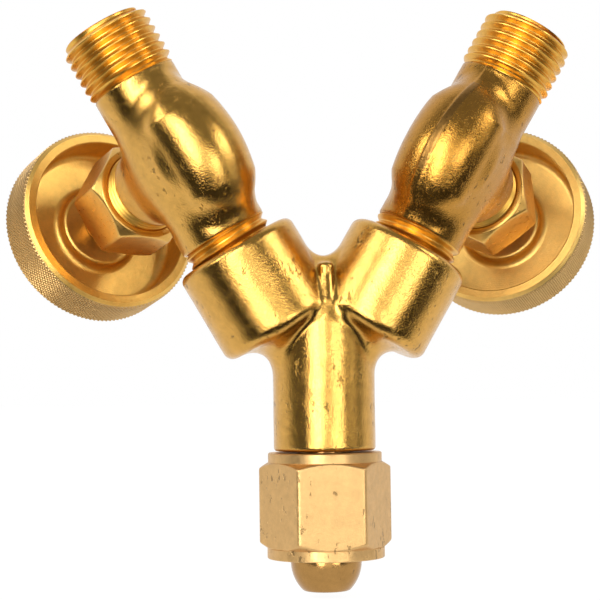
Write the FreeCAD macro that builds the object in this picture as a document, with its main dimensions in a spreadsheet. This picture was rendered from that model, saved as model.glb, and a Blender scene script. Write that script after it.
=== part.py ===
import FreeCAD, Part
import math
import os
import re

import Sketcher

# A brass Y connection for gas hoses with a shut-off needle valve on each arm.
# The frame: +Z runs up the stem, the two arms lean to +X and -X, and the bonnets with their
# handwheels point back, to +Y. The origin is the tip of the inlet nose.

# Driving sizes in millimetres, angles in degrees
SIZES = {
    # the Y forging
    "arm_angle": 30.0,
    "neck_radius": 7.7,
    "neck_length": 6.95,
    "neck_edge": 0.5,
    "stem_rise": 14.8,
    "cap_slope_rise": 2.3,
    "cap_radius": 5.1,
    "boss_radius": 9.55,
    "boss_foot": 12.7,
    "boss_top": 27.4,
    "boss_foot_round": 1.6,
    "boss_top_round": 1.3,
    "shoulder_fillet": 2.6,
    "crotch_fillet": 3.1,
    "rib_thickness": 1.9,
    "rib_reach": 5.3,
    "rib_top_reach": 4.5,
    "rib_top": 20.6,
    "passage_radius": 3.0,
    # the inlet nipple and its nut
    "nose_reach": 4.95,
    "nose_radius": 5.35,
    "nose_tip_radius": 3.6,
    "nose_curve": 6.2,
    "nose_length": 12.6,
    "shank_radius": 4.0,
    "shank_depth": 8.0,
    "nipple_bore": 2.6,
    "nut_length": 15.8,
    "nut_flats": 17.4625,
    "nut_top_collar": 8.6,
    "nut_top_collar_length": 1.45,
    "nut_foot_collar": 8.85,
    "nut_foot_collar_length": 1.6,
    "nut_corner_chamfer": 0.85,
    "nut_wall": 3.6,
    "nut_thread_radius": 6.55,
    "nut_neck_gap": 0.25,
    # tapered pipe joint between the Y and each valve
    "pipe_radius": 6.86,
    "pipe_taper": 0.03125,
    "pipe_engagement": 9.5,
    "pipe_show": 2.6,
    "pipe_relief": 1.5,
    # the valve forging
    "run_radius": 6.7,
    "bonnet_height": 42.4,
    "belly_rise": 0.1,
    "belly_offset": 5.4,
    "belly_radius": 6.65,
    "belly_curve": 16.2,
    "outlet_tip": 66.1,
    "outlet_length": 9.2,
    "outlet_radius": 7.1438,
    "outlet_chamfer": 1.1,
    "outlet_bore": 2.4,
    "outlet_bore_end": 45.4,
    "outlet_seat_radius": 4.5,
    "outlet_seat_depth": 3.0,
    "inlet_bore": 1.9,
    "inlet_bore_drop": 4.9,
    # the bonnet, measured outward from the arm's axis
    "left_bonnet_angle": 31.9,
    "right_bonnet_angle": 29.6,
    "bonnet_radius": 6.5,
    "bonnet_plain": 9.6,
    "bonnet_thread_radius": 6.35,
    "bonnet_end": 15.9,
    "bonnet_chamfer": 0.5,
    "chamber_floor": -1.0,
    "chamber_radius": 4.03,
    "packing_ledge": 12.6,
    "packing_radius": 4.7,
    "seat_hole": 1.3,
    "seat_depth": 1.0,
    "ball_radius": 1.984,
    "ball_gap": 0.04,
    # the stem of the valve
    "stem_thread_radius": 3.97,
    "stem_thread_foot": 4.2,
    "stem_thread_length": 5.6,
    "stem_radius": 2.78,
    "stem_tip_radius": 3.0,
    "tip_lip": 0.5,
    "tip_taper": 1.2,
    "square_flats": 3.9,
    "square_length": 2.1,
    # the packing and its nut
    "ring_clearance": 0.06,
    "washer_thickness": 0.8,
    "packing_thickness": 2.4,
    "gland_length": 2.0,
    "packing_nut_foot": 11.9,
    "packing_nut_length": 8.2,
    "packing_nut_flats": 15.1,
    "packing_nut_mouth": 6.55,
    "packing_nut_mouth_depth": 0.8,
    "packing_nut_face": 7.45,
    "packing_nut_chamfer": 0.5,
    "left_nut_angle": 0.0,
    "right_nut_angle": 26.0,
    # the handwheel
    "wheel_front": 23.5,
    "wheel_thickness": 8.1,
    "wheel_radius": 15.3,
    "wheel_edge": 0.6,
    "wheel_wall": 2.1,
    "wheel_floor_depth": 6.0,
    "wheel_wall_round": 1.2,
    "hub_radius": 6.6,
    "hub_height": 2.0,
    "hub_edge": 0.6,
    "hub_cove": 1.2,
    "screw_recess_radius": 4.2,
    "screw_recess_depth": 1.8,
    "screw_radius": 1.5,
    "screw_head_radius": 2.9,
    "screw_head_height": 1.7,
    "screw_length": 7.0,
    "screw_slot_width": 0.8,
    "screw_slot_depth": 0.8,
    "lock_washer_radius": 3.1,
    "lock_washer_thickness": 0.7,
    "lock_washer_split": 0.6,
    # gaps where two pieces meet
    "joint_gap": 0.02,
    "thread_gap": 0.05,
    "shaft_gap": 0.1,
    "slip_gap": 0.2,
}

# Places and sizes that follow from the driving ones, as formulas
PLACES = {
    "nut_foot": "nose_reach",
    "nut_head": "nut_foot + nut_length",
    "neck_end": "nut_head + nut_neck_gap",
    "junction": "neck_end + neck_length",
    "hex_foot": "nut_foot + nut_foot_collar_length",
    "hex_head": "nut_head - nut_top_collar_length",
    "nut_corner": "nut_flats / 2 / cos(30)",
    "nut_shoulder": "nut_head - nut_wall",
    "shank_end": "neck_end + shank_depth",
    "run_foot": "boss_top + pipe_show",
    "pipe_small_radius": "pipe_radius - (pipe_show + pipe_engagement) * pipe_taper",
    "pipe_end": "boss_top - pipe_engagement",
    "pipe_mouth_radius": "pipe_radius - pipe_show * pipe_taper",
    "belly_height": "bonnet_height + belly_rise",
    "belly_half": "sqrt(belly_curve ^ 2 - (belly_curve - belly_radius) ^ 2)",
    "outlet_foot": "outlet_tip - outlet_length",
    "outlet_face": "outlet_radius - outlet_chamfer",
    "inlet_run": "bonnet_height - pipe_end",
    "inlet_slope": "atan(inlet_bore_drop / inlet_run)",
    "seat_mouth": "seat_hole + seat_depth",
    "seat_foot": "chamber_floor - seat_depth",
    "ball_height": "chamber_floor - seat_depth + ball_radius * sqrt(2) - seat_hole + ball_gap",
    "tip_end": "ball_height - tip_lip",
    "stem_thread_head": "stem_thread_foot + stem_thread_length",
    "washer_head": "packing_ledge + washer_thickness",
    "packing_head": "washer_head + packing_thickness",
    "gland_head": "packing_head + gland_length",
    "packing_nut_head": "packing_nut_foot + packing_nut_length",
    "packing_nut_corner": "packing_nut_flats / 2 / cos(30)",
    "nut_corner_drop": "packing_nut_corner - packing_nut_face",
    "ring_bore": "stem_radius + ring_clearance",
    "ring_rim": "packing_radius - ring_clearance",
    "wheel_mouth": "wheel_radius - wheel_wall",
    "wheel_floor": "wheel_front + wheel_floor_depth",
    "hub_face": "wheel_floor - hub_height",
    "wheel_back": "wheel_front + wheel_thickness",
    "screw_seat": "wheel_back - screw_recess_depth",
    "screw_under_head": "screw_seat + lock_washer_thickness",
    "screw_top": "screw_under_head + screw_head_height",
    "stem_end": "hub_face + square_length",
    "screw_tip": "screw_under_head - screw_length",
    "square_half": "square_flats / 2 + joint_gap",
}

SIDES = {"left": -1, "right": 1}
FULL_TURN = 360.0
HALF_TURN = 180.0

doc = FreeCAD.newDocument("YConnection")
sheet = doc.addObject("Spreadsheet::Sheet", "Sizes")
for row, (name, number) in enumerate(SIZES.items(), start=1):
    sheet.set("A%d" % row, name)
    sheet.set("B%d" % row, str(number))
    sheet.setAlias("B%d" % row, name)
doc.recompute()


# Formulas and bodies

def formula(text):
    """Write out a formula with the sheet's cells in place of the names of sizes."""
    def cell(word):
        name = word.group(0)
        if name in PLACES:
            return "(" + formula(PLACES[name]) + ")"
        return "Sizes." + name if name in SIZES else name
    return re.sub(r"[a-z]\w*", cell, text)


def value(text):
    """The number that a formula gives now, in millimetres or degrees."""
    return float(getattr(sheet.evalExpression(formula(text)), "Value",
                         sheet.evalExpression(formula(text))))


def new_body(label):
    body = doc.addObject("PartDesign::Body", label)
    body.Label = label
    return body


def origin_plane(body, role):
    for feature in body.Origin.OriginFeatures:
        if feature.Role == role:
            return feature
    raise RuntimeError("no plane " + role)


def bind(thing, places):
    """Tie each named property of a feature to its formula."""
    for prop, text in places.items():
        thing.setExpression(prop, formula(text))


def arc_between(start, end, radius):
    """An arc of the given radius from start to end, with its middle left of the way there when
    the radius is positive, and right of it when it is negative."""
    way = end - start
    left = FreeCAD.Vector(-way.y, way.x, 0).normalize()
    side = math.copysign(1.0, radius)
    rise = abs(radius) - math.sqrt(radius ** 2 - way.Length ** 2 / 4)
    return Part.Arc(start, (start + end) / 2 + left * side * rise, end), side < 0


def outline(body, name, corners, plane="XZ_Plane", shift="0", turn="0", across="0"):
    """A closed sketch. Each corner is a pair of formulas, and a third one, where there is one, is
    the radius of the arc to the next corner. The sketch is moved along its two axes by across and
    shift and turned in its plane, so that its upright axis can lie along an arm or a bonnet."""
    sketch = body.newObject("Sketcher::SketchObject", name)
    sketch.AttachmentSupport = (origin_plane(body, plane), [""])
    sketch.MapMode = "FlatFace"
    sketch.AttachmentOffset = FreeCAD.Placement(
        FreeCAD.Vector(), FreeCAD.Rotation(FreeCAD.Vector(0, 0, 1), value(turn)))
    bind(sketch, {"AttachmentOffset.Base.x": across, "AttachmentOffset.Base.y": shift,
                  "AttachmentOffset.Rotation.Angle": turn})
    spots = [FreeCAD.Vector(value(corner[0]), value(corner[1]), 0) for corner in corners]
    ends = []
    radii = []
    for number, corner in enumerate(corners):
        start = spots[number]
        end = spots[(number + 1) % len(spots)]
        if len(corner) > 2:
            curve, forward = arc_between(start, end, value(corner[2]))
            edge = sketch.addGeometry(curve, False)
            ends.append((edge, 1, 2) if forward else (edge, 2, 1))
            radii.append((edge, corner[2]))
        else:
            edge = sketch.addGeometry(Part.LineSegment(start, end), False)
            ends.append((edge, 1, 2))
    for number, (edge, _, last) in enumerate(ends):
        after, first, _ = ends[(number + 1) % len(ends)]
        sketch.addConstraint(Sketcher.Constraint("Coincident", edge, last, after, first))
    for spot, corner, (edge, first, _) in zip(spots, corners, ends):
        for kind, number, text in (("DistanceX", spot.x, corner[0]), ("DistanceY", spot.y, corner[1])):
            made = sketch.addConstraint(Sketcher.Constraint(kind, -1, 1, edge, first, number))
            sketch.setExpression("Constraints[%d]" % made, formula(text))
    for edge, text in radii:
        made = sketch.addConstraint(Sketcher.Constraint("Radius", edge, abs(value(text))))
        sketch.setExpression("Constraints[%d]" % made, "abs(" + formula(text) + ")")
    return sketch


def finish_feature(body, feature, grows):
    """Recompute, and make sure that the feature added or removed material as it should."""
    doc.recompute()
    before = feature.BaseFeature.Shape.Volume if feature.BaseFeature else 0.0
    after = feature.Shape.Volume
    if not (after > before if grows else after < before):
        raise RuntimeError("%s changed nothing in %s" % (feature.Name, body.Label))
    body.Tip = feature
    return feature


def turned(body, name, corners, cut=False, **place):
    """Turn a profile a full circle about the upright axis of its sketch."""
    sketch = outline(body, name + "_profile", corners, **place)
    feature = body.newObject("PartDesign::Groove" if cut else "PartDesign::Revolution", name)
    feature.Profile = sketch
    feature.ReferenceAxis = (sketch, ["V_Axis"])
    feature.Angle = FULL_TURN
    return finish_feature(body, feature, not cut)


def hexagon(body, name, corner_radius, foot, height):
    """A hexagonal bar about the body's Z axis, with a corner towards +X."""
    feature = body.newObject("PartDesign::AdditivePrism", name)
    feature.AttachmentSupport = (origin_plane(body, "XY_Plane"), [""])
    feature.MapMode = "FlatFace"
    feature.Polygon = 6
    bind(feature, {"Circumradius": corner_radius, "Height": height, "AttachmentOffset.Base.z": foot})
    return finish_feature(body, feature, True)


def cut_corners(body, name, corner_radius, face_radius, level, drop):
    """Turn the corners of a hexagonal bar down to a cone that ends at level, drop long."""
    corners = [(face_radius, level), (corner_radius + " + 1", level),
               (corner_radius + " + 1", level + " + (" + drop + ") * (" + corner_radius + " + 1 - ("
                + face_radius + ")) / (" + corner_radius + " - (" + face_radius + "))")]
    return turned(body, name, corners, cut=True)


def primitive(body, kind, name, sizes, cut=False):
    """Add or cut a box or a sphere, set on the body's XY plane and moved by its own offset."""
    feature = body.newObject("PartDesign::" + ("Subtractive" if cut else "Additive") + kind, name)
    feature.AttachmentSupport = (origin_plane(body, "XY_Plane"), [""])
    feature.MapMode = "FlatFace"
    bind(feature, sizes)
    return finish_feature(body, feature, not cut)


def round_edges(body, name, radius, chosen):
    """Round the edges for which chosen(edge) holds."""
    base = body.Tip
    names = ["Edge%d" % number for number, edge in enumerate(base.Shape.Edges, start=1) if chosen(edge)]
    if not names:
        raise RuntimeError("no edges for " + name)
    feature = body.newObject("PartDesign::Fillet", name)
    feature.Base = (base, names)
    bind(feature, {"Radius": radius})
    doc.recompute()
    if feature.Shape.isNull() or not feature.Shape.isValid():
        raise RuntimeError(name + " failed")
    body.Tip = feature
    return feature


def ring(label, inner, outer, foot, head):
    """A plain ring about the body's Z axis."""
    body = new_body(label)
    turned(body, label + "_ring", [(inner, foot), (outer, foot), (outer, head), (inner, head)])
    return body


# The Y forging

def make_y_body():
    body = new_body("y_body")
    turned(body, "stem", [("0", "-neck_length"), ("neck_radius - neck_edge", "-neck_length"),
                          ("neck_radius", "neck_edge - neck_length"), ("neck_radius", "stem_rise"),
                          ("0", "stem_rise")], shift="junction")
    for side, sign in SIDES.items():
        turned(body, side + "_boss", [
            ("0", "boss_foot"), ("boss_radius - boss_foot_round", "boss_foot", "-boss_foot_round"),
            ("boss_radius", "boss_foot + boss_foot_round"),
            ("boss_radius", "boss_top - boss_top_round", "-boss_top_round"),
            ("boss_radius - boss_top_round", "boss_top"), ("0", "boss_top")],
            shift="junction", turn="%d * arm_angle" % -sign)
    shoulder_low = value("junction + boss_foot * cos(arm_angle) - boss_radius * sin(arm_angle)")
    shoulder_high = value("junction + stem_rise")
    round_edges(body, "shoulder_rounding", "shoulder_fillet",
                lambda edge: shoulder_low < edge.CenterOfMass.z < shoulder_high
                and edge.Curve.TypeId == "Part::GeomEllipse")
    crease = value("junction + boss_radius / sin(arm_angle)")
    round_edges(body, "crotch_rounding", "crotch_fillet",
                lambda edge: shoulder_high < edge.CenterOfMass.z < crease
                and abs(edge.CenterOfMass.x) < value("joint_gap")
                and edge.Curve.TypeId == "Part::GeomEllipse")
    turned(body, "stem_cap", [("0", "stem_rise - 1"), ("neck_radius", "stem_rise - 1"),
                              ("neck_radius", "stem_rise"),
                              ("cap_radius", "stem_rise + cap_slope_rise"),
                              ("0", "stem_rise + cap_slope_rise")], shift="junction")
    rib = outline(body, "rib_profile", [
        ("-rib_reach", "stem_rise"), ("rib_reach", "stem_rise"), ("rib_top_reach", "rib_top"),
        ("-rib_top_reach", "rib_top")], plane="YZ_Plane", shift="junction")
    feature = body.newObject("PartDesign::Pad", "rib")
    feature.Profile = rib
    feature.Midplane = True
    bind(feature, {"Length": "rib_thickness"})
    finish_feature(body, feature, True)
    turned(body, "nipple_bore_cut", [("0", "-neck_length"), ("shank_radius + joint_gap", "-neck_length"),
                                     ("shank_radius + joint_gap", "shank_depth - neck_length"),
                                     ("passage_radius", "shank_depth - neck_length"),
                                     ("passage_radius", "passage_radius / 2"),
                                     ("0", "passage_radius")], cut=True, shift="junction")
    for side, sign in SIDES.items():
        turned(body, side + "_port", [
            ("0", "0"), ("passage_radius", "0"), ("passage_radius", "pipe_end - pipe_relief"),
            ("pipe_small_radius + joint_gap - pipe_relief * pipe_taper", "pipe_end - pipe_relief"),
            ("pipe_mouth_radius + joint_gap", "boss_top"), ("0", "boss_top")], cut=True,
            shift="junction", turn="%d * arm_angle" % -sign)
    return body


# The inlet: a nipple fixed in the stem, and the nut that turns on it

def make_inlet_nipple():
    body = new_body("inlet_nipple")
    turned(body, "nipple", [
        ("nipple_bore", "0"), ("nose_tip_radius", "0", "-nose_curve"), ("nose_radius", "nose_reach"),
        ("nose_radius", "nose_length"), ("shank_radius", "nose_length"), ("shank_radius", "shank_end"),
        ("nipple_bore", "shank_end")])
    return body


def make_inlet_nut():
    body = new_body("inlet_nut")
    turned(body, "foot_collar", [("0", "nut_foot"), ("nut_foot_collar", "nut_foot"),
                                 ("nut_foot_collar", "hex_foot"), ("0", "hex_foot")])
    hexagon(body, "nut_hexagon", "nut_corner", "hex_foot", "hex_head - hex_foot")
    turned(body, "top_collar", [("0", "hex_head"), ("nut_top_collar", "hex_head"),
                                ("nut_top_collar", "nut_head"), ("0", "nut_head")])
    cut_corners(body, "foot_corners", "nut_corner", "nut_foot_collar", "hex_foot", "nut_corner_chamfer")
    cut_corners(body, "head_corners", "nut_corner", "nut_top_collar", "hex_head",
                "0 - nut_corner_chamfer")
    turned(body, "nut_bore", [
        ("0", "nut_foot"), ("nut_thread_radius + nut_corner_chamfer / 2", "nut_foot"),
        ("nut_thread_radius", "nut_foot + nut_corner_chamfer / 2"), ("nut_thread_radius", "nut_shoulder"),
        ("shank_radius + slip_gap", "nut_shoulder"), ("shank_radius + slip_gap", "nut_head"),
        ("0", "nut_head")], cut=True)
    return body


# The valve forging: run, belly, bonnet and both threaded ends

def make_valve_body(label):
    body = new_body(label)
    turned(body, label + "_run", [
        ("0", "pipe_end"), ("pipe_small_radius", "pipe_end"), ("pipe_radius", "run_foot"),
        ("run_radius", "run_foot"), ("run_radius", "outlet_foot"), ("outlet_radius", "outlet_foot"),
        ("outlet_radius", "outlet_tip - outlet_chamfer"), ("outlet_face", "outlet_tip"),
        ("0", "outlet_tip")])
    web = outline(body, label + "_belly_profile", [
        ("0", "-belly_half", "belly_curve"), ("0", "belly_half", "belly_curve")],
        plane="YZ_Plane", shift="belly_height")
    feature = body.newObject("PartDesign::Pad", label + "_belly_web")
    feature.Profile = web
    feature.Reversed = True
    bind(feature, {"Length": "belly_offset"})
    finish_feature(body, feature, True)
    crown = outline(body, label + "_crown_profile", [
        ("0", "-belly_half", "belly_curve"), ("0", "belly_half")],
        shift="belly_height", across="-belly_offset")
    feature = body.newObject("PartDesign::Revolution", label + "_belly_crown")
    feature.Profile = crown
    feature.ReferenceAxis = (crown, ["V_Axis"])
    feature.Angle = HALF_TURN
    feature.Midplane = True
    finish_feature(body, feature, True)
    turned(body, label + "_bonnet", [
        ("0", "0"), ("bonnet_radius", "0"), ("bonnet_radius", "bonnet_plain"),
        ("bonnet_thread_radius", "bonnet_plain"), ("bonnet_thread_radius", "bonnet_end - bonnet_chamfer"),
        ("bonnet_thread_radius - bonnet_chamfer", "bonnet_end"), ("0", "bonnet_end")],
        shift="bonnet_height", turn="-90")
    turned(body, label + "_chamber", [
        ("0", "-inlet_bore_drop"), ("seat_hole", "-inlet_bore_drop"), ("seat_hole", "seat_foot"),
        ("seat_mouth", "chamber_floor"), ("chamber_radius", "chamber_floor"),
        ("chamber_radius", "packing_ledge"), ("packing_radius", "packing_ledge"),
        ("packing_radius", "bonnet_end"), ("0", "bonnet_end")], cut=True,
        shift="bonnet_height", turn="-90")
    turned(body, label + "_outlet_bore", [
        ("0", "outlet_bore_end"), ("outlet_bore", "outlet_bore_end"),
        ("outlet_bore", "outlet_tip - outlet_seat_depth"), ("outlet_seat_radius", "outlet_tip"),
        ("0", "outlet_tip")], cut=True)
    turned(body, label + "_inlet_bore", [
        ("0", "-inlet_bore"), ("inlet_bore", "-inlet_bore"), ("inlet_bore", "inlet_run / cos(inlet_slope)"),
        ("0", "inlet_run / cos(inlet_slope) + inlet_bore")], cut=True, shift="pipe_end",
        turn="inlet_slope")
    return body


# The pieces on the bonnet's axis, each about its own Z axis, with Z = 0 on the arm's axis

def make_seat_ball(label):
    body = new_body(label)
    primitive(body, "Sphere", label + "_sphere",
              {"Radius": "ball_radius", "AttachmentOffset.Base.z": "ball_height"})
    return body


def make_valve_stem(label):
    body = new_body(label)
    turned(body, label + "_turned", [
        ("0", "tip_end"), ("stem_tip_radius - tip_taper / 2", "tip_end"),
        ("stem_tip_radius", "tip_end + tip_taper"), ("stem_tip_radius", "stem_thread_foot"),
        ("stem_thread_radius", "stem_thread_foot + stem_thread_radius - stem_tip_radius"),
        ("stem_thread_radius", "stem_thread_head"), ("stem_radius", "stem_thread_head"),
        ("stem_radius", "hub_face"), ("0", "hub_face")])
    primitive(body, "Sphere", label + "_socket",
              {"Radius": "ball_radius + ball_gap", "AttachmentOffset.Base.z": "ball_height"}, cut=True)
    primitive(body, "Box", label + "_square", {
        "Length": "square_flats", "Width": "square_flats", "Height": "square_length + 1",
        "AttachmentOffset.Base.x": "-square_flats / 2", "AttachmentOffset.Base.y": "-square_flats / 2",
        "AttachmentOffset.Base.z": "hub_face - 1"})
    turned(body, label + "_screw_hole", [("0", "screw_tip - joint_gap"),
                                         ("screw_radius + joint_gap", "screw_tip - joint_gap"),
                                         ("screw_radius + joint_gap", "stem_end"), ("0", "stem_end")],
           cut=True)
    return body


def make_packing_nut(label):
    body = new_body(label)
    hexagon(body, label + "_hexagon", "packing_nut_corner", "packing_nut_foot", "packing_nut_length")
    cut_corners(body, label + "_foot_corners", "packing_nut_corner", "packing_nut_face",
                "packing_nut_foot", "nut_corner_drop")
    cut_corners(body, label + "_head_corners", "packing_nut_corner",
                "(packing_nut_flats / 2 - packing_nut_chamfer / 2)", "packing_nut_head",
                "0 - packing_nut_chamfer")
    turned(body, label + "_bore", [
        ("0", "packing_nut_foot"), ("packing_nut_mouth", "packing_nut_foot"),
        ("packing_nut_mouth", "packing_nut_foot + packing_nut_mouth_depth"),
        ("bonnet_thread_radius + thread_gap", "packing_nut_foot + packing_nut_mouth_depth"),
        ("bonnet_thread_radius + thread_gap", "gland_head"), ("stem_radius + shaft_gap", "gland_head"),
        ("stem_radius + shaft_gap", "packing_nut_head"), ("0", "packing_nut_head")], cut=True)
    return body


def make_handwheel(label):
    body = new_body(label)
    turned(body, label + "_cup", [
        ("0", "hub_face"), ("hub_radius - hub_edge", "hub_face", "-hub_edge"),
        ("hub_radius", "hub_face + hub_edge"), ("hub_radius", "wheel_floor - hub_cove", "hub_cove"),
        ("hub_radius + hub_cove", "wheel_floor"),
        ("wheel_mouth - wheel_wall_round", "wheel_floor", "wheel_wall_round"),
        ("wheel_mouth", "wheel_floor - wheel_wall_round"),
        ("wheel_mouth", "wheel_front"), ("wheel_radius - wheel_edge", "wheel_front"),
        ("wheel_radius", "wheel_front + wheel_edge"), ("wheel_radius", "wheel_back - wheel_edge"),
        ("wheel_radius - wheel_edge", "wheel_back"), ("screw_recess_radius", "wheel_back"),
        ("screw_recess_radius", "screw_seat"), ("0", "screw_seat")])
    hole = outline(body, label + "_square_profile", [
        ("-square_half", "-square_half"), ("square_half", "-square_half"),
        ("square_half", "square_half"), ("-square_half", "square_half")], plane="XY_Plane")
    feature = body.newObject("PartDesign::Pocket", label + "_square_hole")
    feature.Profile = hole
    feature.Type = "ThroughAll"
    feature.Midplane = True
    finish_feature(body, feature, False)
    return body


def make_lock_washer(label):
    body = ring(label, "screw_radius + shaft_gap", "lock_washer_radius", "screw_seat",
                "screw_under_head")
    primitive(body, "Box", label + "_split", {
        "Length": "lock_washer_radius + 1", "Width": "lock_washer_split",
        "Height": "lock_washer_thickness + 1", "AttachmentOffset.Base.y": "-lock_washer_split / 2",
        "AttachmentOffset.Base.z": "screw_seat - 0.5"}, cut=True)
    return body


def make_wheel_screw(label):
    body = new_body(label)
    turned(body, label + "_turned", [
        ("0", "screw_tip"), ("screw_radius", "screw_tip"), ("screw_radius", "screw_under_head"),
        ("screw_head_radius", "screw_under_head"),
        ("screw_head_radius", "screw_top - screw_head_height / 2", "-screw_head_height / 2"),
        ("screw_head_radius - screw_head_height / 2", "screw_top"), ("0", "screw_top")])
    primitive(body, "Box", label + "_slot", {
        "Length": "2 * screw_head_radius + 1", "Width": "screw_slot_width",
        "Height": "screw_slot_depth + 1", "AttachmentOffset.Base.x": "-screw_head_radius - 0.5",
        "AttachmentOffset.Base.y": "-screw_slot_width / 2",
        "AttachmentOffset.Base.z": "screw_top - screw_slot_depth"}, cut=True)
    return body


# Where the arms and bonnets lie

def arm_directions(side):
    """The arm's direction and its bonnet's direction."""
    sign = SIDES[side]
    arm = math.radians(value("arm_angle"))
    swing = math.radians(value(side + "_bonnet_angle"))
    along = FreeCAD.Vector(sign * math.sin(arm), 0, math.cos(arm))
    outward = FreeCAD.Vector(sign * math.cos(arm), 0, -math.sin(arm))
    back = FreeCAD.Vector(0, 1, 0)
    return along, outward * math.sin(swing) + back * math.cos(swing)


def place_on_arm(body, side):
    """Z along the arm, X along the bonnet, origin at the junction."""
    along, bonnet = arm_directions(side)
    turn = FreeCAD.Rotation(bonnet, along.cross(bonnet), along, "ZXY")
    body.Placement = FreeCAD.Placement(FreeCAD.Vector(0, 0, value("junction")), turn)


def place_on_bonnet(body, side, spin=0.0):
    """Z along the bonnet, X along the arm, origin where the two axes cross."""
    along, bonnet = arm_directions(side)
    turn = FreeCAD.Rotation(along, bonnet.cross(along), bonnet, "ZXY")
    spot = FreeCAD.Vector(0, 0, value("junction")) + along * value("bonnet_height")
    own_spin = FreeCAD.Rotation(FreeCAD.Vector(0, 0, 1), spin)
    body.Placement = FreeCAD.Placement(spot, turn.multiply(own_spin))


pieces = [make_y_body(), make_inlet_nipple(), make_inlet_nut()]
for side in SIDES:
    forging = make_valve_body(side + "_valve_body")
    place_on_arm(forging, side)
    nut = make_packing_nut(side + "_packing_nut")
    place_on_bonnet(nut, side, value(side + "_nut_angle"))
    on_bonnet = [
        make_seat_ball(side + "_seat_ball"),
        make_valve_stem(side + "_valve_stem"),
        ring(side + "_packing_washer", "ring_bore", "ring_rim", "packing_ledge", "washer_head"),
        ring(side + "_packing_ring", "ring_bore", "ring_rim", "washer_head", "packing_head"),
        ring(side + "_packing_gland", "ring_bore", "ring_rim", "packing_head", "gland_head"),
        make_handwheel(side + "_handwheel"),
        make_lock_washer(side + "_lock_washer"),
        make_wheel_screw(side + "_handwheel_screw"),
    ]
    for piece in on_bonnet:
        place_on_bonnet(piece, side)
    pieces += [forging, nut] + on_bonnet
doc.recompute()

for thing in doc.Objects:
    if "Invalid" in thing.State or "Error" in thing.State:
        raise RuntimeError("%s failed: %s" % (thing.Label, thing.State))
for piece in pieces:
    if piece.Shape.isNull() or not piece.Shape.isValid() or len(piece.Shape.Solids) != 1:
        raise RuntimeError(piece.Label + " is not one valid solid")

os.makedirs("parts", exist_ok=True)
for piece in pieces:
    piece.Shape.exportStep(os.path.join("parts", piece.Label + ".step"))
    box = piece.Shape.BoundBox
    print("%-22s %9.1f mm3  x %6.1f %6.1f  y %6.1f %6.1f  z %6.1f %6.1f" % (
        piece.Label, piece.Shape.Volume, box.XMin, box.XMax, box.YMin, box.YMax, box.ZMin, box.ZMax))
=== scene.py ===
import math

import bmesh
import bpy
import numpy as np
from mathutils import Matrix, Vector


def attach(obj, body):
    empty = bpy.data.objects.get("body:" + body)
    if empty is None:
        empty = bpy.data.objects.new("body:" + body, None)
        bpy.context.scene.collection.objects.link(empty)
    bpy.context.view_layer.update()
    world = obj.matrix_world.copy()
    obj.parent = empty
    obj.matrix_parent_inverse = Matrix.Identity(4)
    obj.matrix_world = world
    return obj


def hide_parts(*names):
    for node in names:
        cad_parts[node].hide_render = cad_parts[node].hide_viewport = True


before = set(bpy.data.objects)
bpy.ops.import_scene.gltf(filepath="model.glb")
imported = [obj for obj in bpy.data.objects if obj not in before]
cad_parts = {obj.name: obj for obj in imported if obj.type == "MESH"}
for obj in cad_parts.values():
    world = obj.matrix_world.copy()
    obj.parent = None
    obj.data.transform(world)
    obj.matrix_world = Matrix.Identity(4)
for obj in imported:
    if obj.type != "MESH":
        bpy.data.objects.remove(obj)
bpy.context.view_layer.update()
STEP = 0.25  # grid of the forgings' surfaces

# Sizes in millimetres, the same as the solids have
MM = 0.001
MICRON = 0.000001
SIDES = {"left": -1, "right": 1}
JUNCTION = 27.95  # height where the arms' axes meet
ARM_ANGLE = math.radians(30.0)
BONNET_ANGLE = {"left": math.radians(31.9), "right": math.radians(29.6)}
BONNET_HEIGHT = 42.4  # along the arm, where the bonnet's axis crosses it
STEM_RADIUS = 7.7
BOSS_RADIUS = 9.6
SOCKET_RADIUS = 6.95
RUN_RADIUS = 6.7
BONNET_RADIUS = 6.55
BELLY_ARC = 16.2
BELLY_INSET = 9.55  # how far the arc's centre lies beyond the belly's middle line
BELLY_MIDDLE = 42.3
PITCH = 1.411  # 9/16-18 thread
OUTLET_CREST = 7.14
OUTLET_END = 66.1
NUT_FLATS = 17.4625
PACKING_NUT_FLATS = 15.1
WHEEL_RADIUS = 15.3
WHEEL_FOOT = 23.5
WHEEL_HEAD = 31.6


# Where the arms and the bonnets lie

def directions(side):
    """The arm's direction and its bonnet's direction."""
    sign = SIDES[side]
    swing = BONNET_ANGLE[side]
    along = np.array([sign * math.sin(ARM_ANGLE), 0, math.cos(ARM_ANGLE)])
    outward = np.array([sign * math.cos(ARM_ANGLE), 0, -math.sin(ARM_ANGLE)])
    return along, math.sin(swing) * outward + math.cos(swing) * np.array([0, 1, 0])


def arm_place(side):
    """Z along the arm, X along the bonnet, origin at the junction."""
    along, bonnet = directions(side)
    return place_of(bonnet, along, np.array([0, 0, JUNCTION]))


def bonnet_place(side):
    """Z along the bonnet, X along the arm, origin where the two axes cross."""
    along, bonnet = directions(side)
    return place_of(along, bonnet, np.array([0, 0, JUNCTION]) + along * BONNET_HEIGHT)


def place_of(x_axis, z_axis, origin):
    place = np.eye(4)
    place[:3, 0] = x_axis
    place[:3, 1] = np.cross(z_axis, x_axis)
    place[:3, 2] = z_axis
    place[:3, 3] = origin
    return place


STEM_PLACE = place_of(np.array([1, 0, 0]), np.array([0, 0, 1]), np.zeros(3))


# Meshes

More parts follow.
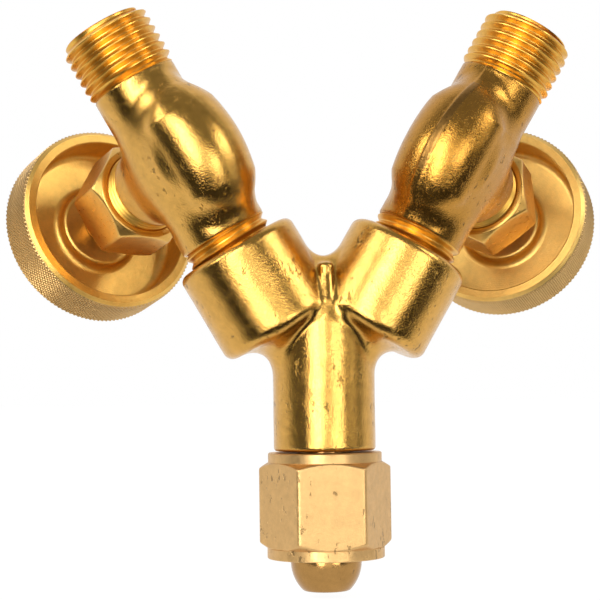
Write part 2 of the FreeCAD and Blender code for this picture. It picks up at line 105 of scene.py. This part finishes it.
def piece(name, verts, faces, place, material, body, crease=35.0, replaces=()):
    """A mesh piece with its vertices in the row frame, riding on a body."""
    verts = (np.asarray(verts) @ place[:3, :3].T + place[:3, 3]) * MM
    mesh = bpy.data.meshes.new(name)
    mesh.from_pydata(verts.tolist(), [], faces)
    work = bmesh.new()
    work.from_mesh(mesh)
    bmesh.ops.remove_doubles(work, verts=work.verts, dist=2e-7)
    bmesh.ops.dissolve_degenerate(work, edges=work.edges, dist=1e-7)
    bmesh.ops.recalc_face_normals(work, faces=work.faces)
    work.to_mesh(mesh)
    work.free()
    mesh.shade_smooth()
    mesh.set_sharp_from_angle(angle=math.radians(crease))
    mesh.materials.append(material)
    thing = bpy.data.objects.new(name, mesh)
    bpy.context.collection.objects.link(thing)
    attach(thing, body)
    if replaces:
        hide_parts(*replaces)
    return thing


def wrapped(rows, columns):
    """Vertices and faces of a closed surface round the Z axis. Each row is a radius and a height,
    numbers or one value per column, and the last row joins the first."""
    turn = np.linspace(0, 2 * np.pi, columns + 1)
    count = columns + 1
    verts = []
    for radius, height in rows:
        radius = np.broadcast_to(radius, count)
        height = np.broadcast_to(height, count)
        verts.append(np.stack([radius * np.cos(turn), radius * np.sin(turn), height], 1))
    faces = []
    for row in range(len(rows)):
        here = row * count
        there = (row + 1) % len(rows) * count
        faces += [(here + i, here + i + 1, there + i + 1, there + i) for i in range(columns)]
    return np.concatenate(verts), faces


def surface(field, low, high, step):
    """The surface where field is zero, as one vertex in each cell of a grid that it crosses."""
    axes = [np.arange(a, b + step, step) for a, b in zip(low, high)]
    grid = np.stack(np.meshgrid(*axes, indexing="ij"), -1)
    shape = grid.shape[:3]
    inside = (field(grid.reshape(-1, 3)) < 0).reshape(shape)
    cells = np.zeros(tuple(n - 1 for n in shape), int)
    for i in (0, 1):
        for j in (0, 1):
            for k in (0, 1):
                cells += inside[i:shape[0] - 1 + i, j:shape[1] - 1 + j, k:shape[2] - 1 + k]
    crossed = (cells > 0) & (cells < 8)
    number = np.full(crossed.shape, -1)
    number[crossed] = np.arange(crossed.sum())
    centre = np.stack([axes[n][at] for n, at in enumerate(np.nonzero(crossed))], 1) + step / 2
    verts = centre.copy()
    reach = step * 0.01
    for _ in range(6):
        here = field(verts)
        slope = np.stack([(field(verts + reach * e) - here) / reach for e in np.eye(3)], 1)
        verts -= slope * (here / np.maximum((slope ** 2).sum(1), 0.05))[:, None]
        verts = np.clip(verts, centre - step * 0.7, centre + step * 0.7)
    faces = []
    for axis in range(3):
        filled = np.moveaxis(inside, axis, 0)[:, 1:-1, 1:-1]
        index = np.moveaxis(number, axis, 0)
        below, above = filled[:-1], filled[1:]
        for first, second, rising in ((below, above, True), (above, below, False)):
            at = np.nonzero(first & ~second)
            quad = np.stack([index[at[0], at[1] + i, at[2] + j]
                             for i, j in ((0, 0), (1, 0), (1, 1), (0, 1))], 1)
            outward = rising == (axis != 1)
            faces += (quad if outward else quad[:, ::-1]).tolist()
    return verts, faces


def round_union(a, b, radius):
    """Both shapes, with a round fillet where they meet."""
    u = np.maximum(radius - a, 0)
    v = np.maximum(radius - b, 0)
    return np.maximum(radius, np.minimum(a, b)) - np.hypot(u, v)


def bar(points, axis, low, high, radius, foot_round, head_round):
    """A round bar along an axis from the origin, with rounded rims."""
    height = points @ axis
    across = np.sqrt(np.maximum((points ** 2).sum(1) - height ** 2, 0))
    rim = np.where(height > (low + high) / 2, head_round, foot_round)
    u = across - radius + rim
    v = np.abs(height - (low + high) / 2) - (high - low) / 2 + rim
    return np.minimum(np.maximum(u, v), 0) + np.hypot(np.maximum(u, 0), np.maximum(v, 0)) - rim


def ease(value, low, high):
    share = np.clip((value - low) / (high - low), 0, 1)
    return share * share * (3 - 2 * share)


RNG = np.random.default_rng(7)
WAVE_HEIGHT = 0.0007  # per millimetre of wave length
WAVES = [(RNG.normal(size=3), length, RNG.uniform(0, 6.28))
         for length in np.repeat([9.0, 6.0, 4.0, 2.6], 5)]


def forging_waves(points):
    """The slight unevenness of a forged surface, in millimetres."""
    total = np.zeros(len(points))
    for way, length, phase in WAVES:
        way = way / np.linalg.norm(way)
        total += length * np.sin(points @ way * (2 * math.pi / length) + phase)
    return total * WAVE_HEIGHT


# Materials

def brass(name, colour, rough, spread, grain, waves=0, speck=0, pits=0, clean=0.72, lathe=None):
    """Bare brass, whose colour and roughness vary a little. The heights of the grain, the larger
    waves, the finest grain (speck) and the pits are in microns. clean is larger where the pits are
    fewer. lathe is the place of a turned piece's axis, for the fine rings that the tool left."""
    made = bpy.data.materials.new(name)
    made.use_nodes = True
    nodes = made.node_tree.nodes
    links = made.node_tree.links
    shader = nodes["Principled BSDF"]
    shader.inputs["Metallic"].default_value = 1.0
    where = nodes.new("ShaderNodeTexCoord")

    def noise(scale, detail, roughness=0.55, vector=where.outputs["Object"]):
        node = nodes.new("ShaderNodeTexNoise")
        node.inputs["Scale"].default_value = scale
        node.inputs["Detail"].default_value = detail
        node.inputs["Roughness"].default_value = roughness
        links.new(vector, node.inputs["Vector"])
        return node.outputs["Fac"]

    def mapped(value, from_low, from_high, low=0.0, high=1.0):
        node = nodes.new("ShaderNodeMapRange")
        node.inputs["From Min"].default_value = from_low
        node.inputs["From Max"].default_value = from_high
        node.inputs["To Min"].default_value = low
        node.inputs["To Max"].default_value = high
        links.new(value, node.inputs["Value"])
        return node.outputs["Result"]

    def bump(value, microns, before=None):
        node = nodes.new("ShaderNodeBump")
        node.inputs["Strength"].default_value = 1.0
        node.inputs["Distance"].default_value = microns * MICRON
        links.new(value, node.inputs["Height"])
        if before is not None:
            links.new(before, node.inputs["Normal"])
        return node.outputs["Normal"]

    tint = nodes.new("ShaderNodeValToRGB")
    links.new(noise(700, 6.0, 0.75), tint.inputs["Fac"])
    for stop, position, share in zip(tint.color_ramp.elements, (0.3, 0.7), (0.8, 1.0)):
        stop.position = position
        stop.color = (*(c * share for c in colour), 1)
    paint = tint.outputs["Color"]
    links.new(mapped(noise(1600, 4.0, 0.7), 0.3, 0.7, rough, rough + spread),
              shader.inputs["Roughness"])
    normal = bump(noise(4200, 2.0), grain)
    if speck:
        normal = bump(noise(9000, 1.0), speck, normal)
    if waves:
        normal = bump(noise(500, 2.0), waves, normal)
    if lathe is not None:
        local = nodes.new("ShaderNodeMapping")
        local.vector_type = "TEXTURE"
        turn = Matrix(lathe[:3, :3].tolist()).to_euler()
        local.inputs["Location"].default_value = Vector(lathe[:3, 3]) * MM
        local.inputs["Rotation"].default_value = turn
        links.new(where.outputs["Object"], local.inputs["Vector"])
        rings = nodes.new("ShaderNodeTexWave")
        rings.wave_type = "RINGS"
        rings.rings_direction = "Z"
        rings.inputs["Scale"].default_value = 900
        rings.inputs["Distortion"].default_value = 0.6
        rings.inputs["Detail"].default_value = 2.0
        links.new(local.outputs["Vector"], rings.inputs["Vector"])
        normal = bump(rings.outputs["Fac"], 4, normal)
    if pits:
        slant = nodes.new("ShaderNodeMapping")
        slant.inputs["Rotation"].default_value = (0.5, 0.3, 0.7)
        slant.inputs["Scale"].default_value = (1.0, 1.0, 0.4)
        links.new(where.outputs["Object"], slant.inputs["Vector"])
        wide = nodes.new("ShaderNodeMath")
        wide.operation = "MULTIPLY_ADD"
        wide.inputs[1].default_value = 0.5
        links.new(noise(220, 2.0), wide.inputs[0])
        links.new(noise(1300, 4.0, 0.6, slant.outputs["Vector"]), wide.inputs[2])
        hole = mapped(wide.outputs["Value"], clean + 0.29, clean + 0.25)
        normal = bump(hole, pits, normal)
        # The pits are coloured half as dark as the metal round them.
        darker_pits = nodes.new("ShaderNodeMix")
        darker_pits.data_type = "RGBA"
        links.new(hole, darker_pits.inputs["Factor"])
        darker_pits.inputs["A"].default_value = (*(c * 0.5 for c in colour), 1)
        links.new(paint, darker_pits.inputs["B"])
        paint = darker_pits.outputs["Result"]
    links.new(paint, shader.inputs["Base Color"])
    links.new(normal, shader.inputs["Normal"])
    return made


FORGED = brass("forged_brass", (0.70, 0.388, 0.09), 0.10, 0.15, grain=36, waves=34, speck=16,
               pits=40, clean=0.66)
# The right valve's brass is a darker copy of the forged brass: painted shade. It is also a little
# rougher.
SHADED_RIGHT_FORGED = brass("shaded_right_forged_brass", (0.54, 0.265, 0.048), 0.15, 0.15, grain=32, waves=20,
                     speck=16, pits=30, clean=0.66)
SCRAPED = brass("scraped_brass", (0.36, 0.185, 0.045), 0.24, 0.14, grain=30, waves=20)
# Machined brass with its colour darkened: painted shade for the nose's underside, which faces the
# floor.
SHADED_MACHINED = brass("machined_brass", (0.46, 0.25, 0.078), 0.14, 0.08, grain=12, pits=20)
THREAD = brass("threaded_brass", (0.86, 0.48, 0.09), 0.28, 0.10, grain=10)
KNURLED = brass("knurled_brass", (0.67, 0.42, 0.16), 0.28, 0.10, grain=16)
NUT_BRASS = brass("nut_brass", (0.73, 0.45, 0.178), 0.34, 0.12, grain=15, waves=20, speck=6,
                  pits=50, clean=0.65)
TURNED = {}
# The cups' brass is a lighter copy of the turned brass, one for each side: painted light that
# brightens the wheels' insides and rims.
LIT_CUP = {}
for side, lit_cup_colour in (("left", (0.90, 0.54, 0.13)), ("right", (0.90, 0.57, 0.16))):
    lathe = bonnet_place(side)
    TURNED[side] = brass(side + "_turned_brass", (0.80, 0.46, 0.115), 0.26, 0.08, grain=16,
                         lathe=lathe)
    LIT_CUP[side] = brass(side + "_lit_cup_brass", lit_cup_colour, 0.34, 0.10, grain=30, speck=12, lathe=lathe)


def plain_material(name, colour, metallic, rough):
    made = bpy.data.materials.new(name)
    made.use_nodes = True
    nodes = made.node_tree.nodes
    links = made.node_tree.links
    shader = nodes["Principled BSDF"]
    shader.inputs["Metallic"].default_value = metallic
    shader.inputs["Base Color"].default_value = (*colour, 1)
    shader.inputs["Roughness"].default_value = rough
    where = nodes.new("ShaderNodeTexCoord")
    grain = nodes.new("ShaderNodeTexNoise")
    grain.inputs["Scale"].default_value = 3000
    bump = nodes.new("ShaderNodeBump")
    bump.inputs["Distance"].default_value = 5 * MICRON
    links.new(where.outputs["Object"], grain.inputs["Vector"])
    links.new(grain.outputs["Fac"], bump.inputs["Height"])
    links.new(bump.outputs["Normal"], shader.inputs["Normal"])
    return made


STEEL = plain_material("steel", (0.55, 0.55, 0.54), 1.0, 0.25)
PTFE = plain_material("ptfe", (0.85, 0.85, 0.82), 0.0, 0.45)


# The Y forging

def y_field(points):
    """Less than zero inside the Y forging, with the junction as origin."""
    up = np.array([0, 0, 1.0])
    front = np.abs(points[:, 1])
    stem = bar(points, up, -6.95, 16.6, STEM_RADIUS, 0.5, 4.8)
    bosses = [bar(points - place, directions(side)[0], 12.7, 27.4, BOSS_RADIUS, 1.6, 1.3)
              for side, place in (("left", (0.34, 0, 0.2)), ("right", (-0.08, 0, 0.05)))]
    crotch = round_union(bosses[0], bosses[1], 5.0 - 3.4 * ease(front, 1.5, 6.0))
    body = round_union(crotch, stem, 1.4 + 3.9 * ease(np.abs(points[:, 0]), 2.5, 8.0))
    crest = 5.1 + 0.3 * np.clip(19.5 - points[:, 2], 0, 4)
    across = np.hypot(np.maximum(np.abs(points[:, 0]) - 0.1, 0), np.maximum(front - crest, 0))
    across -= 0.25
    above = np.abs(points[:, 2] - 13.5) - 7.0
    web = np.minimum(np.maximum(across, above), 0) - 0.8
    web += np.hypot(np.maximum(across, 0), np.maximum(above, 0))
    body = round_union(body, web, 0.6)
    for side in SIDES:
        along = directions(side)[0]
        body = np.maximum(body, -bar(points, along, 16.0, 40.0, SOCKET_RADIUS, 0.2, 0.2))
    return body + forging_waves(points)


verts, faces = surface(y_field, (-23.47, -11.09, -7.96), (23.47, 11.16, 30.0), STEP)
piece("y_forging", verts, faces, place_of(np.array([1, 0, 0]), np.array([0, 0, 1]),
                                          np.array([0, 0, JUNCTION])),
      FORGED, "body", crease=60, replaces=["y_body"])


# The inlet: nose and nut

def rounded_hexagon(turn, flats, sharp=90):
    """Radius of a hexagon with slightly rounded corners, a corner at angle zero."""
    faces = [np.cos(turn - math.radians(30 + 60 * n)) for n in range(6)]
    total = sum(np.maximum(face, 1e-6) ** sharp for face in faces)
    return flats / 2 * total ** (-1 / sharp)


def both(a, b, sharp=90):
    """The smaller of two radii, with the edge between them slightly rounded."""
    least = np.minimum(a, b)
    return least * ((least / a) ** sharp + (least / b) ** sharp) ** (-1 / sharp)


def arc(start, end, radius, count):
    """Points along an arc that bulges away from the axis."""
    start = np.array(start)
    end = np.array(end)
    middle = (start + end) / 2
    way = end - start
    length = np.linalg.norm(way)
    side = np.array([way[1], -way[0]]) / length
    centre = middle + side * -math.sqrt(radius ** 2 - length ** 2 / 4) * (1 if side[0] > 0 else -1)
    first = math.atan2(*(start - centre)[::-1])
    last = math.atan2(*(end - centre)[::-1])
    return [tuple(centre + radius * np.array([math.cos(t), math.sin(t)]))
            for t in np.linspace(first, last, count)]


def cove(start, end, count):
    """Points along a quarter circle that hollows a corner, from a wall to the floor beside it."""
    turn = np.linspace(0, math.pi / 2, count)
    wide = end[0] - start[0]
    return [(end[0] - wide * math.cos(t), start[1] + wide * math.sin(t)) for t in turn]


nose = [(2.6, 0.25), (2.85, 0.0), (3.35, 0.0)] + arc((3.6, 0.12), (5.35, 4.95), 6.2, 16)
nose += [(5.35, 12.6), (4.0, 12.6), (4.0, 28.95), (2.6, 28.95)]
verts, faces = wrapped(nose, 128)
# The nose is darkened by its brass's colour: painted shade.
piece("nose", verts, faces, STEM_PLACE, SHADED_MACHINED, "body",
      replaces=["inlet_nipple"])

NUT_COLUMNS = 240
turn = np.linspace(0, 2 * np.pi, NUT_COLUMNS + 1)
hexagon = rounded_hexagon(turn, NUT_FLATS)
rows = [(8.73, 4.95), (8.85, 5.07), (8.85, 6.5)]
for height in np.concatenate([np.linspace(6.52, 7.7, 14), np.linspace(8.0, 18.0, 12),
                              np.linspace(18.2, 19.28, 14)]):
    foot_cone = 8.85 + max(height - 6.55, 0) * 1.45
    head_cone = 8.65 + max(19.3 - height, 0) * 1.68
    rows.append((both(both(hexagon, foot_cone), head_cone), height))
rows += [(8.6, 19.3), (8.6, 20.6), (8.45, 20.75), (4.35, 20.75), (4.2, 20.6), (4.2, 17.15),
         (6.55, 17.15)]
for height in np.arange(17.0, 5.5, -0.13225):
    groove = np.abs(((height / PITCH - turn / (2 * np.pi)) % 1) * 2 - 1)
    rows.append((6.55 + 0.55 * groove, height))
rows += [(6.55, 5.4), (7.0, 4.95)]
verts, faces = wrapped(rows, NUT_COLUMNS)
piece("swivel_nut", verts, faces, STEM_PLACE, NUT_BRASS, "nut",
      replaces=["inlet_nut"])


# The valve forgings

def valve_field(points, seam_rise):
    """Less than zero inside a valve forging, in its arm's place. The run is the bar along the arm
    and the belly a spindle round it, drawn out to the front."""
    along = np.array([0, 0, 1.0])
    run = bar(points, along, 30.0, 56.7, RUN_RADIUS, 0.25, 0.4)
    run -= 0.2 * ease(36.0 - points[:, 2], 0.0, 4.0)
    offset = points[:, 2] - BELLY_MIDDLE
    deep = np.maximum(np.sqrt(np.maximum(BELLY_ARC ** 2 - offset ** 2, 0)) - BELLY_INSET, 0.6)
    narrow = np.clip(deep / (6.85 - 0.012 * offset ** 2), 0.84, 1.0)
    away = np.hypot(points[:, 0] - np.clip(points[:, 0], -5.25, 0), points[:, 1] * narrow)
    belly = np.hypot(away + BELLY_INSET, offset) - BELLY_ARC
    shape = round_union(run, belly, 1.6)
    shifted = points - np.array([0, 0, BONNET_HEIGHT])
    bonnet = bar(shifted, np.array([1.0, 0, 0]), -4.0, 9.6, BONNET_RADIUS, 0.3, 0.3)
    shape = round_union(shape, bonnet, 2.6)
    seam = ease(0.75 - np.abs(points[:, 1]), 0.0, 0.2) * ease(-points[:, 0], 0.0, 1.0)
    return np.maximum(shape - seam * seam_rise + forging_waves(points + 31.0), 29.7 - points[:, 2])


def thread_rows(low, high, pitch, radius_at, depth, columns, steps=10):
    """Rows of an outside thread between two heights, from low to high. radius_at gives the crest's
    radius at a height."""
    turn = np.linspace(0, 1, columns + 1)
    rows = [(radius_at(low) - depth, low)]
    count = int((high - low) / pitch + 2) * steps
    for step in range(count):
        height = np.clip(low + pitch * (step / steps + turn - 1), low, high)
        phase = (height / pitch - turn) % 1
        slope = np.clip((np.abs(phase * 2 - 1) - 0.08) / 0.80, 0, 1)
        rows.append((radius_at(height) - depth * slope, height))
    rows.append((radius_at(high) - depth * 0.5, high))
    return rows


def outlet_crest(height):
    """The outlet thread's outside radius: it grows at the foot and ends in a chamfer."""
    fade = np.clip((height - 56.5) / 1.2, 0, 1)
    return np.minimum(OUTLET_CREST - (1 - fade) * 0.45, 6.1 + (OUTLET_END - height))


SEAM_RISE = {"left": 0.02, "right": 0.13}  # how far the parting strip stands out
for side in SIDES:
    verts, faces = surface(lambda points: valve_field(points, SEAM_RISE[side]),
                           (-13.03, -8.54, 29.09), (10.6, 8.5, 59.5), STEP)
    forging = piece(side + "_valve_forging", verts, faces, arm_place(side),
                    FORGED if side == "left" else SHADED_RIGHT_FORGED, "body", crease=60,
                    replaces=[side + "_valve_body"])
    if side == "right":  # its parting strip was scraped
        forging.data.materials.append(SCRAPED)
        turned = np.linalg.inv(arm_place(side))
        for polygon in forging.data.polygons:
            x, y, z = turned[:3, :3] @ (np.array(polygon.center) / MM) + turned[:3, 3]
            if abs(y) < 0.65 and x < -5 and 37 < z < 53:
                polygon.material_index = 1
    rows = thread_rows(56.5, 65.95, PITCH, outlet_crest, 0.66, 144)
    rows += [(6.0, OUTLET_END), (4.6, OUTLET_END), (4.45, 66.0), (2.4, 63.1), (2.4, 50.0),
             (5.5, 50.0)]
    verts, faces = wrapped(rows, 144)
    piece(side + "_outlet_thread", verts, faces, arm_place(side), THREAD, "body")
    rows = thread_rows(26.0, 30.3, PITCH, lambda z: 6.86 - (30.0 - z) * 0.03125, 0.6, 128)
    rows += [(3.0, 30.4), (3.0, 26.0)]
    verts, faces = wrapped(rows, 128)
    piece(side + "_pipe_thread", verts, faces, arm_place(side), THREAD, "body")
    rows = thread_rows(9.3, 15.85, 0.8, lambda z: 6.4 + 0 * z, 0.42, 128)
    rows += [(4.7, 15.9), (4.7, 9.3)]
    verts, faces = wrapped(rows, 128)
    piece(side + "_bonnet_thread", verts, faces, bonnet_place(side), THREAD, "body")


# The packing nuts and the handwheels

NUT_TURN = {"left": 0.0, "right": 26.0}
for side in SIDES:
    hexagon = rounded_hexagon(turn - math.radians(NUT_TURN[side]), PACKING_NUT_FLATS)
    rows = [(6.6, 11.9), (7.35, 11.9)]
    for height in np.concatenate([np.linspace(11.95, 13.2, 14), np.linspace(13.5, 19.3, 8),
                                  np.linspace(19.4, 20.1, 10)]):
        foot_cone = 7.45 + max(height - 11.95, 0) * 1.0
        head_cone = 7.35 + max(20.1 - height, 0) * 2.3
        rows.append((both(both(hexagon, foot_cone), head_cone), height))
    rows += [(2.95, 20.1), (2.88, 20.0), (2.88, 17.8), (6.4, 17.8), (6.4, 12.1)]
    verts, faces = wrapped(rows, NUT_COLUMNS)
    piece(side + "_bonnet_nut", verts, faces, bonnet_place(side), TURNED[side], "body",
          replaces=[side + "_packing_nut"])

KNURLS = 132
KNURL_STEPS = 8  # columns per knurl
KNURL_ROWS = 11
KNURL_DEPTH = 0.30


def knurl(turn, height):
    """Radius of the knurled rim: two sets of slanting grooves that cross."""
    lead = turn / (2 * np.pi) * KNURLS
    rise = (height - WHEEL_FOOT) / (WHEEL_HEAD - WHEEL_FOOT) * KNURL_ROWS
    one = np.abs(((lead + rise) % 1) * 2 - 1)
    other = np.abs(((lead - rise) % 1) * 2 - 1)
    return WHEEL_RADIUS - KNURL_DEPTH * (1 - np.clip(np.minimum(one, other) / 0.6, 0, 1))


for side in SIDES:
    columns = KNURLS * KNURL_STEPS
    spin = np.linspace(0, 2 * np.pi, columns + 1)
    rows = [(2.77, 27.6), (5.9, 27.5)] + arc((6.0, 27.5), (6.6, 28.1), 0.6, 5)
    rows += cove((6.6, 28.3), (7.8, 29.5), 7)
    rows += arc((12.0, 29.5), (13.2, 28.3), 1.2, 8)
    rows += [(13.2, 23.65), (13.35, WHEEL_FOOT), (14.5, WHEEL_FOOT)]
    for height in np.linspace(23.52, 31.58, 89):
        edge = 14.5 + min(height - WHEEL_FOOT, WHEEL_HEAD - height) * 1.05
        rows.append((np.minimum(knurl(spin, height), edge), height))
    rows += [(14.5, WHEEL_HEAD), (4.4, WHEEL_HEAD), (4.2, 31.4), (4.2, 29.8), (2.77, 29.8)]
    verts, faces = wrapped(rows, columns)
    wheel = piece(side + "_wheel", verts, faces, bonnet_place(side), LIT_CUP[side], side + "_stem",
                  replaces=[side + "_handwheel"])
    wheel.data.materials.append(KNURLED)
    axis = Vector(bonnet_place(side)[:3, 2])
    start = Vector(bonnet_place(side)[:3, 3]) * MM
    for polygon in wheel.data.polygons:
        away = polygon.center - start
        if (away - axis * away.dot(axis)).length > (WHEEL_RADIUS - 0.32) * MM:
            polygon.material_index = 1

# What stays as the solids have it
for side in SIDES:
    for part, finish in (("seat_ball", STEEL), ("valve_stem", SHADED_MACHINED),
                         ("packing_washer", SHADED_MACHINED), ("packing_ring", PTFE),
                         ("packing_gland", SHADED_MACHINED), ("lock_washer", STEEL),
                         ("handwheel_screw", STEEL)):
        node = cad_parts[side + "_" + part]
        for place in node.material_slots:
            place.material = finish


# Camera, fitted to the rims and edges in the photograph

lens = bpy.data.cameras.new("camera")
lens.lens = 101.844
lens.clip_end = 20
camera = bpy.data.objects.new("camera", lens)
bpy.context.collection.objects.link(camera)
camera.location = (-0.028882, -0.256115, 0.030552)
camera.rotation_euler = (1.622264, 0.013758, -0.098291)
bpy.context.scene.camera = camera
bpy.context.scene.view_settings.view_transform = "Standard"


# Light: soft boxes left and right of the camera, a dim one behind it, and small ones at the sides

CENTRE = (0.0, 0.0, 0.05)
LAMPS = (
    ("left_box", (-0.231, -0.545, 0.135), 0.23, 0.50, 7.5),
    ("right_box", (0.263, -0.539, 0.019), 0.21, 0.20, 5.5),
    ("front_fill", (0.01, -0.70, 0.05), 0.30, 0.45, 1.35),
    ("right_high", (0.463, -0.267, 0.322), 0.17, 0.22, 6.5),
    ("right_low", (0.526, -0.283, 0.09), 0.16, 0.26, 1.0),
    ("left_high", (-0.472, -0.240, 0.332), 0.20, 0.22, 7.0),
)
for name, spot, wide, high, radiance in LAMPS:
    light = bpy.data.lights.new(name, "AREA")
    light.shape = "RECTANGLE"
    light.size = wide
    light.size_y = high
    light.energy = radiance * math.pi * wide * high
    lamp = bpy.data.objects.new(name, light)
    bpy.context.collection.objects.link(lamp)
    lamp.location = spot
    lamp.rotation_euler = (Vector(CENTRE) - Vector(spot)).to_track_quat("-Z", "Y").to_euler()


def any_ray(nodes, links, *kinds):
    """One for a ray of these kinds, else zero."""
    path = nodes.new("ShaderNodeLightPath")
    found = path.outputs[kinds[0]]
    for kind in kinds[1:]:
        either = nodes.new("ShaderNodeMath")
        either.operation = "MAXIMUM"
        links.new(found, either.inputs[0])
        links.new(path.outputs[kind], either.inputs[1])
        found = either.outputs["Value"]
    return found


# The world is white to the eye, and lights the piece from behind and a little from above
world = bpy.data.worlds.new("studio")
bpy.context.scene.world = world
world.use_nodes = True
nodes = world.node_tree.nodes
links = world.node_tree.links
nodes.clear()
out = nodes.new("ShaderNodeOutputWorld")
coord = nodes.new("ShaderNodeTexCoord")
split = nodes.new("ShaderNodeSeparateXYZ")
links.new(coord.outputs["Generated"], split.inputs["Vector"])


def level(socket, low, high, dim, bright):
    """A grey that rises smoothly with one part of the direction."""
    node = nodes.new("ShaderNodeMapRange")
    node.interpolation_type = "SMOOTHSTEP"
    for name, value in (("From Min", low), ("From Max", high), ("To Min", dim), ("To Max", bright)):
        node.inputs[name].default_value = value
    links.new(split.outputs[socket], node.inputs["Value"])
    return node.outputs["Result"]


behind = nodes.new("ShaderNodeMath")
behind.operation = "MAXIMUM"
links.new(level("Y", -0.06, 0.26, 0.0, 1.0), behind.inputs[0])
links.new(level("Z", -0.3, 0.6, 0.05, 0.28), behind.inputs[1])
lit = nodes.new("ShaderNodeBackground")
links.new(behind.outputs["Value"], lit.inputs["Color"])
white = nodes.new("ShaderNodeBackground")
white.inputs["Color"].default_value = (1, 1, 1, 1)
choose = nodes.new("ShaderNodeMixShader")
links.new(any_ray(nodes, links, "Is Camera Ray", "Is Transmission Ray"), choose.inputs["Fac"])
links.new(lit.outputs["Background"], choose.inputs[1])
links.new(white.outputs["Background"], choose.inputs[2])
links.new(choose.outputs["Shader"], out.inputs["Surface"])

# The pale floor, which keeps a soft shadow. It starts just in front of the piece, because from
# there on it would wash out the fronts that mirror it.
FLOOR_REACH = 3.0
FLOOR_FRONT = -0.025
FLOOR_HEIGHT = -0.001
floor_mesh = bpy.data.meshes.new("floor")
corners = [(-1, FLOOR_FRONT), (1, FLOOR_FRONT), (1, FLOOR_REACH), (-1, FLOOR_REACH)]
floor_mesh.from_pydata([(side * FLOOR_REACH, depth, FLOOR_HEIGHT) for side, depth in corners], [],
                       [(0, 1, 2, 3)])
floor = bpy.data.objects.new("floor", floor_mesh)
bpy.context.collection.objects.link(floor)
pale = bpy.data.materials.new("pale_floor")
pale.use_nodes = True
nodes = pale.node_tree.nodes
links = pale.node_tree.links
shader = nodes["Principled BSDF"]
shader.inputs["Base Color"].default_value = (0.85, 0.85, 0.85, 1)
shader.inputs["Roughness"].default_value = 0.9
glow = nodes.new("ShaderNodeEmission")
glow.inputs["Strength"].default_value = 1.06
share = nodes.new("ShaderNodeMath")
share.operation = "MULTIPLY"
share.inputs[1].default_value = 0.9
links.new(any_ray(nodes, links, "Is Camera Ray", "Is Glossy Ray", "Is Transmission Ray"),
          share.inputs[0])
mix = nodes.new("ShaderNodeMixShader")
links.new(share.outputs["Value"], mix.inputs["Fac"])
links.new(shader.outputs["BSDF"], mix.inputs[1])
links.new(glow.outputs["Emission"], mix.inputs[2])
links.new(mix.outputs["Shader"], nodes["Material Output"].inputs["Surface"])
floor_mesh.materials.append(pale)
